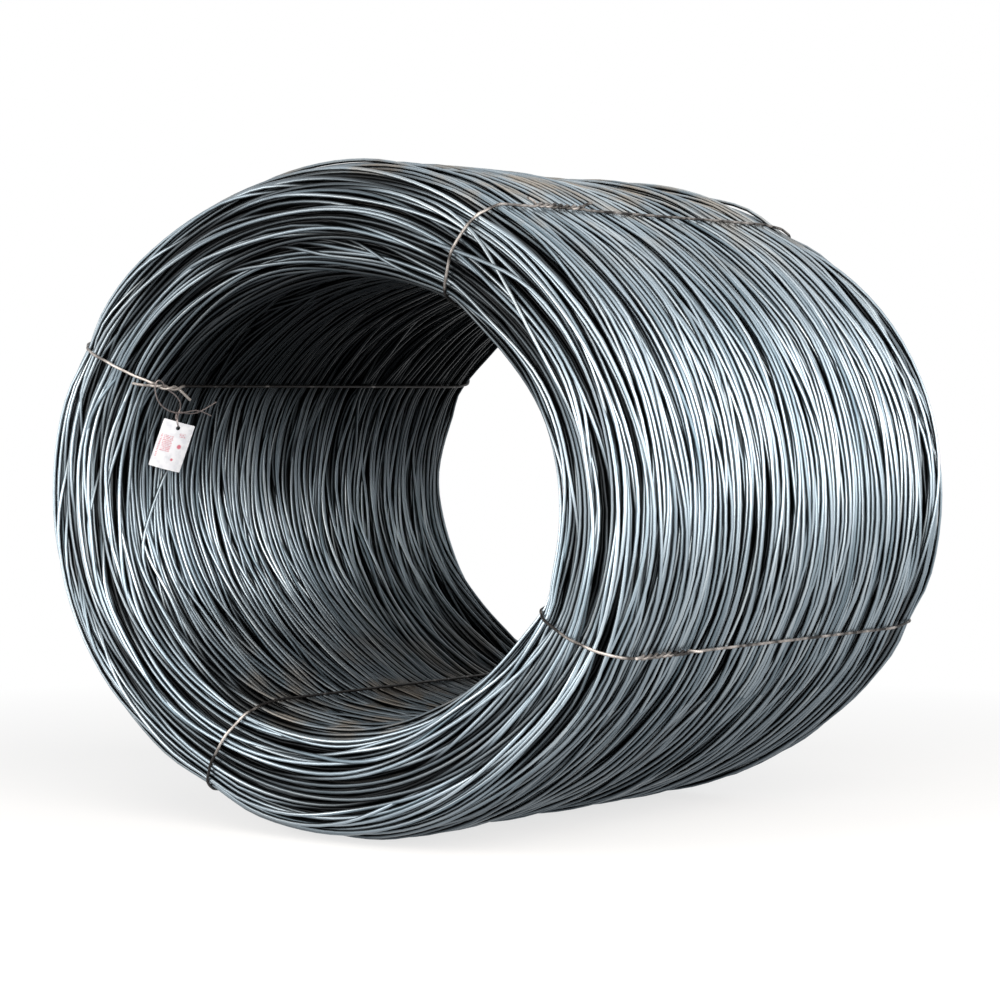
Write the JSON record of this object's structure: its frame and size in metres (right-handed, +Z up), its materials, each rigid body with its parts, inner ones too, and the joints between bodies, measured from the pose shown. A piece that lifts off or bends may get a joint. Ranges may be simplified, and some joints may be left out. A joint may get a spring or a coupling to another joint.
{
  "type": "coil of wire rod",
  "caption": "Coil of hot-rolled steel wire rod lying on its side, an open bore through its middle, held by tie wires round the wall, with a card tag.",
  "frame": {"origin": "on the floor under the middle of the coil: bottom centre of the whole object's box", "axes": "+Y along the bore from the front end to the rear end, +X across the coil to the right as seen from the front, +Z up"},
  "size_m": [1.3454, 0.992, 1.1545],
  "materials": {
    "rod_steel": "hot-rolled mill scale, satin, lightly rusted in places",
    "tie_steel": "annealed wire, dull",
    "tag_card": "coated card, matte",
    "tag_wire_steel": "annealed wire, dull"
  },
  "bodies": {
    "root": {"rod_coil": "rod_steel", "tie_wire_top": "tie_steel", "tie_wire_left": "tie_steel", "tie_wire_bottom": "tie_steel", "tie_wire_right": "tie_steel", "tag": "tag_card", "tag_wire": "tag_wire_steel"}
  },
  "joints": []
}
